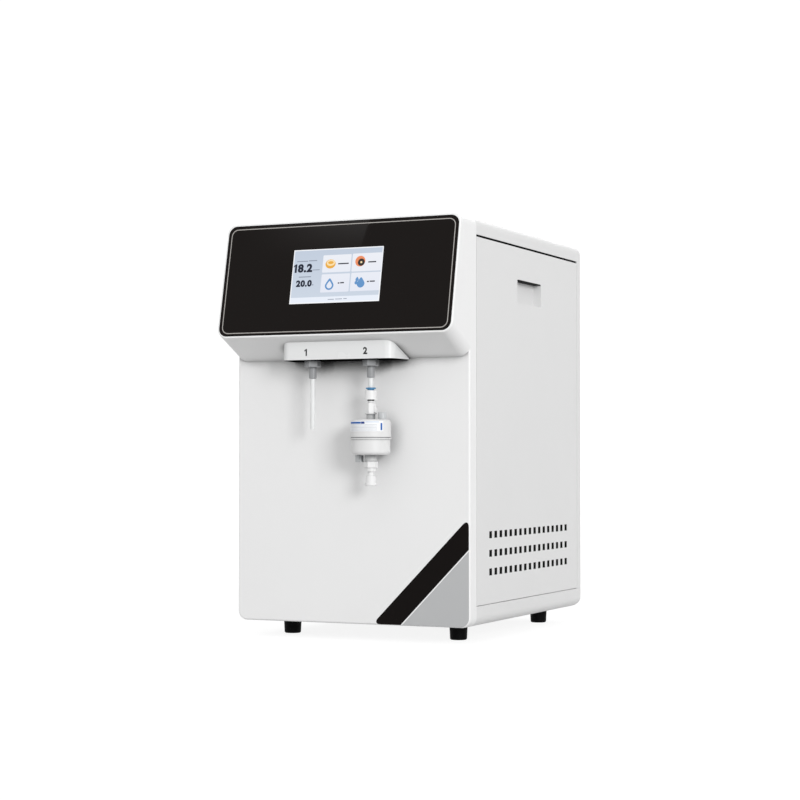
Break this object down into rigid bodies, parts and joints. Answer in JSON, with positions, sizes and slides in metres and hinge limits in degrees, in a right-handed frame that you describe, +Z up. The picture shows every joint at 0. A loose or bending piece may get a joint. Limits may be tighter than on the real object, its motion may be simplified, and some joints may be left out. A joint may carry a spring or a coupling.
{
  "type": "laboratory water purifier",
  "caption": "Bench water purifier: white cabinet, tilted glass head with screen, tube outlet and filter capsule outlet below, vented side panels that tilt out, and water parts inside.",
  "frame": {"origin": "on the bench, under the middle of the bounding box", "axes": "+Z up, the front with the screen faces -Y, +X to the right of someone facing the front"},
  "size_m": [0.34, 0.5006, 0.5528],
  "materials": {
    "shell_white": "satin moulded shell",
    "panel_white": "fine satin powder coat",
    "screen_glass": "opaque black-backed glossy glass",
    "display_dark": "dark display back",
    "block_plastic": "satin moulding",
    "nut_grey": "mid grey moulded nut",
    "tube_white": "translucent white tubing",
    "fitting_white": "satin white push-fit",
    "collet_blue": "satin blue",
    "capsule_white": "soft satin",
    "membrane_fabric": "pleated membrane",
    "plug_clear": "cloudy translucent",
    "foot_rubber": "matt black rubber",
    "cup_plastic": "satin light grey",
    "frame_steel": "zinc-plated sheet",
    "screw_steel": "plain steel",
    "catch_plastic": "black spring plastic",
    "cartridge_white": "satin white tank",
    "membrane_tank": "satin white tank",
    "clip_plastic": "dark grey plastic",
    "pump_plastic": "black moulding",
    "motor_paint": "black enamel",
    "bracket_steel": "dark painted sheet",
    "valve_plastic": "white valve body with coil",
    "supply_case": "plain perforated case",
    "board_green": "green solder mask",
    "inlet_black": "black inlet moulding",
    "rocker_black": "black rocker"
  },
  "bodies": {
    "cabinet": {"front_cover": "shell_white", "glass_panel": "screen_glass", "display_module": "display_dark", "dispense_block": "block_plastic", "left_outlet_fitting": "nut_grey", "right_outlet_fitting": "nut_grey", "left_outlet_tube": "tube_white", "right_outlet_tube": "tube_white", "coupling_body": "fitting_white", "capsule_upper_housing": "capsule_white", "capsule_lower_housing": "capsule_white", "capsule_membrane": "membrane_fabric", "outlet_adapter": "fitting_white", "bell_outlet": "fitting_white", "base_tray": "panel_white", "front_left_foot": "foot_rubber", "front_right_foot": "foot_rubber", "rear_left_foot": "foot_rubber", "rear_right_foot": "foot_rubber", "top_cover": "panel_white", "rear_panel": "panel_white", "catch_clips": "catch_plastic", "right_top_rail": "frame_steel", "left_top_rail": "frame_steel", "partition_plate": "frame_steel", "pan_head_screws": "screw_steel", "sediment_cartridge": "cartridge_white", "carbon_cartridge": "cartridge_white", "first_resin_cartridge": "cartridge_white", "second_resin_cartridge": "cartridge_white", "membrane_housing": "membrane_tank", "cartridge_clips": "clip_plastic", "pump_head": "pump_plastic", "pump_motor": "motor_paint", "pump_bracket": "bracket_steel", "rear_ports": "fitting_white", "inlet_valve": "valve_plastic", "flush_valve": "valve_plastic", "valve_shelf": "frame_steel", "raw_water_tubing": "tube_white", "waste_tubing": "tube_white", "permeate_tubing": "tube_white", "resin_water_tubing": "tube_white", "permeate_tees": "fitting_white", "conductivity_cell": "fitting_white", "power_supply": "supply_case", "control_board": "board_green", "mains_inlet": "inlet_black"},
    "right_panel": {"right_side_panel": "panel_white", "right_pull_cup": "cup_plastic", "right_catch_studs": "catch_plastic"},
    "left_panel": {"left_side_panel": "panel_white", "left_pull_cup": "cup_plastic", "left_catch_studs": "catch_plastic"},
    "collet": {"coupling_collet": "collet_blue"},
    "vent_plug": {"capsule_vent_plug": "plug_clear"},
    "drain_plug": {"capsule_drain_plug": "plug_clear"},
    "rocker": {"switch_rocker": "rocker_black"}
  },
  "joints": [
    {"name": "right_panel_tilt", "type": "hinge", "parent": "cabinet", "child": "right_panel", "pos_m": [0.17, 0.02435, 0.049], "axis": [0, 1, 0], "range_deg": [0, 25]},
    {"name": "left_panel_tilt", "type": "hinge", "parent": "cabinet", "child": "left_panel", "pos_m": [-0.17, 0.02435, 0.049], "axis": [0, -1, 0], "range_deg": [0, 25]},
    {"name": "collet_press", "type": "slide", "parent": "cabinet", "child": "collet", "axis": [0, 0, -1], "range_m": [0, 0.0015], "stiffness_N_per_m": 200, "springref_m": -0.001},
    {"name": "vent_plug_turn", "type": "hinge", "parent": "cabinet", "child": "vent_plug", "pos_m": [0.0587, -0.21915, 0.2901], "axis": [0, 0, 1], "range_deg": [0, 90]},
    {"name": "drain_plug_turn", "type": "hinge", "parent": "cabinet", "child": "drain_plug", "pos_m": [0.0259, -0.21915, 0.2441], "axis": [0, 0, 1], "range_deg": [0, 90]},
    {"name": "rocker_swing", "type": "hinge", "parent": "cabinet", "child": "rocker", "pos_m": [0.1, 0.23145, 0.1053], "axis": [1, 0, 0], "range_deg": [0, 20]}
  ]
}
